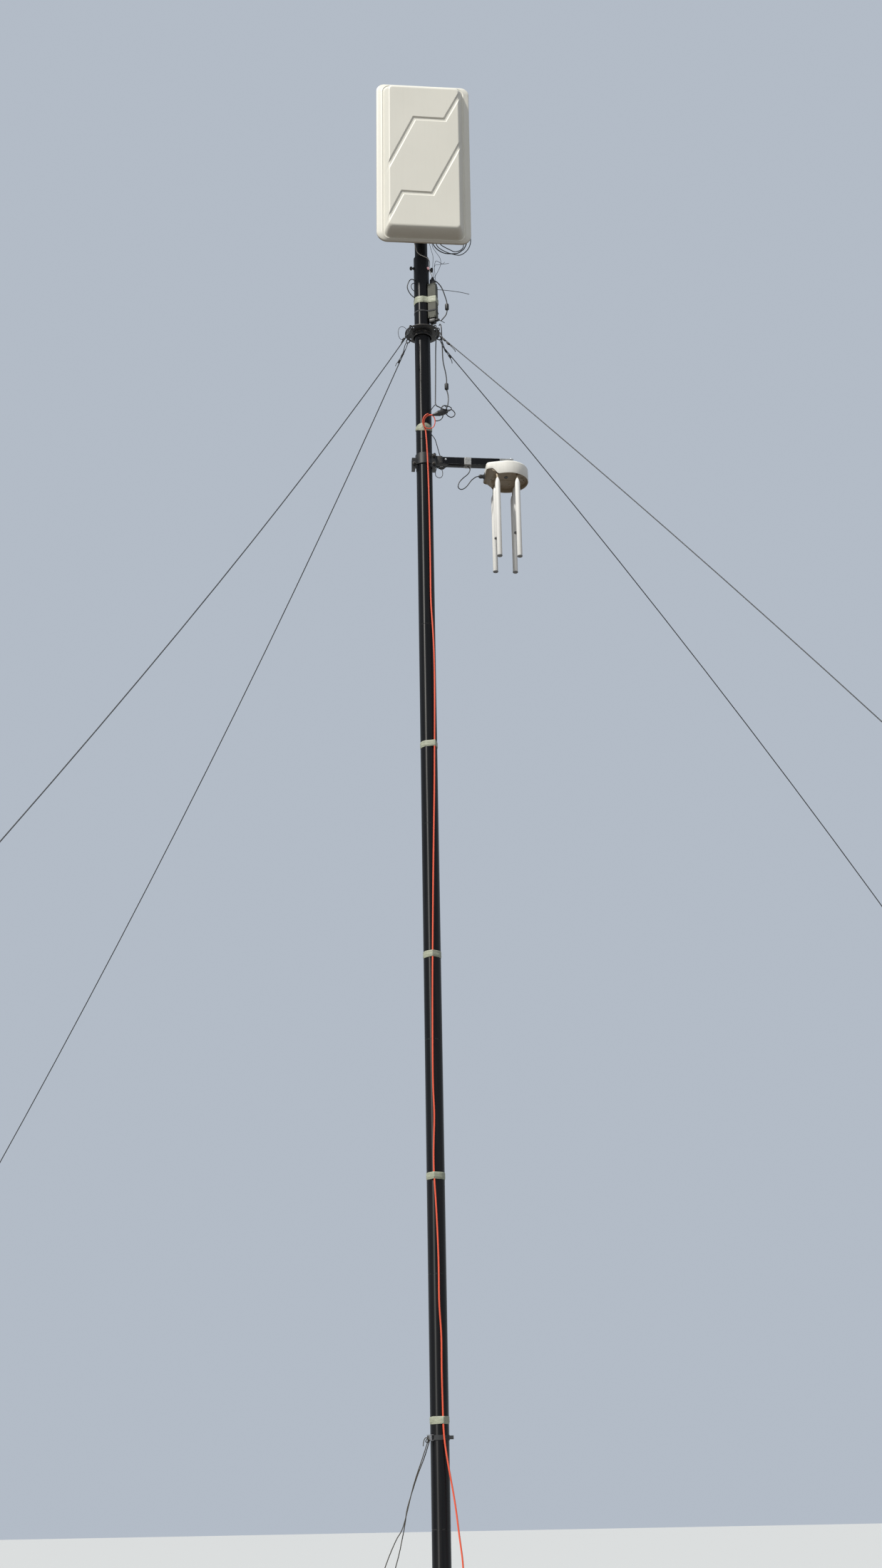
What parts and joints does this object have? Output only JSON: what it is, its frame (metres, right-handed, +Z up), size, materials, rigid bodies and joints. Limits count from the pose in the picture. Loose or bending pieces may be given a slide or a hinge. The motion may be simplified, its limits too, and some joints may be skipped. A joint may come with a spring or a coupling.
{
  "type": "guyed radio mast",
  "caption": "Stayed sectional mast with a flat panel antenna on top, a side arm with a round housing and hanging rods, a junction box and a taped extension cord.",
  "frame": {"origin": "middle of the underside of the base plate, on the mast's axis at ground level", "axes": "+Z up the mast, +X along the side arm, -Y the way the panel antenna faces"},
  "size_m": [10.5922, 8.6102, 10.1167],
  "materials": {
    "mast_black": "gloss black paint, scuffed",
    "steel_dark": "dark painted steel, worn",
    "fitting_black": "black moulded fittings",
    "stay_rope": "laid wire rope, dark",
    "galvanised": "galvanised steel",
    "radome_white": "warm white radome, satin",
    "tray_white": "warm white tray, satin",
    "housing_white": "white housing, satin",
    "housing_tan": "warm grey underside",
    "rod_white": "white fibreglass",
    "cap_grey": "grey end caps",
    "box_grey": "grey-green box",
    "tape_pale": "pale tape",
    "tape_grey": "silver grey tape",
    "cable_black": "black cable jacket",
    "cord_orange": "orange cord jacket",
    "rope_fibre": "dark braided rope",
    "lamp_pink": "pale pink lamp lens",
    "strap_dark": "dark webbing"
  },
  "bodies": {
    "root": {"base_plate": "steel_dark", "foot_piece": "mast_black", "mast_section_1": "mast_black", "mast_section_2": "mast_black", "mast_section_3": "mast_black", "mast_section_4": "mast_black", "mast_section_5": "mast_black", "mast_section_6": "mast_black", "mast_section_7": "mast_black", "top_tube": "mast_black", "clamp_knobs": "fitting_black", "signal_lamp": "lamp_pink", "stay_collar": "steel_dark", "stay_clips": "steel_dark", "stay_front_left": "stay_rope", "stay_back_left": "stay_rope", "stay_front_right": "stay_rope", "stay_back_right": "stay_rope", "stay_tensioners": "galvanised", "ground_stakes": "galvanised", "mast_straps": "strap_dark", "tie_ropes": "rope_fibre", "panel_front": "radome_white", "panel_tray": "tray_white", "panel_brackets": "galvanised", "coax_leads": "cable_black", "junction_box": "box_grey", "box_plugs": "fitting_black", "box_leads": "cable_black", "hanging_leads": "cable_black", "inline_socket": "fitting_black", "orange_cord": "cord_orange", "orange_cord_coil": "cord_orange", "orange_cord_plug": "cord_orange", "mast_tapes": "tape_pale", "arm_clamp": "fitting_black", "arm_tube": "mast_black", "arm_tape": "tape_grey", "arm_fixings": "galvanised", "omni_cover": "housing_white", "omni_base": "housing_tan", "omni_gland": "fitting_black", "omni_lead": "cable_black", "antenna_rods": "rod_white", "rod_caps": "cap_grey"}
  },
  "joints": []
}
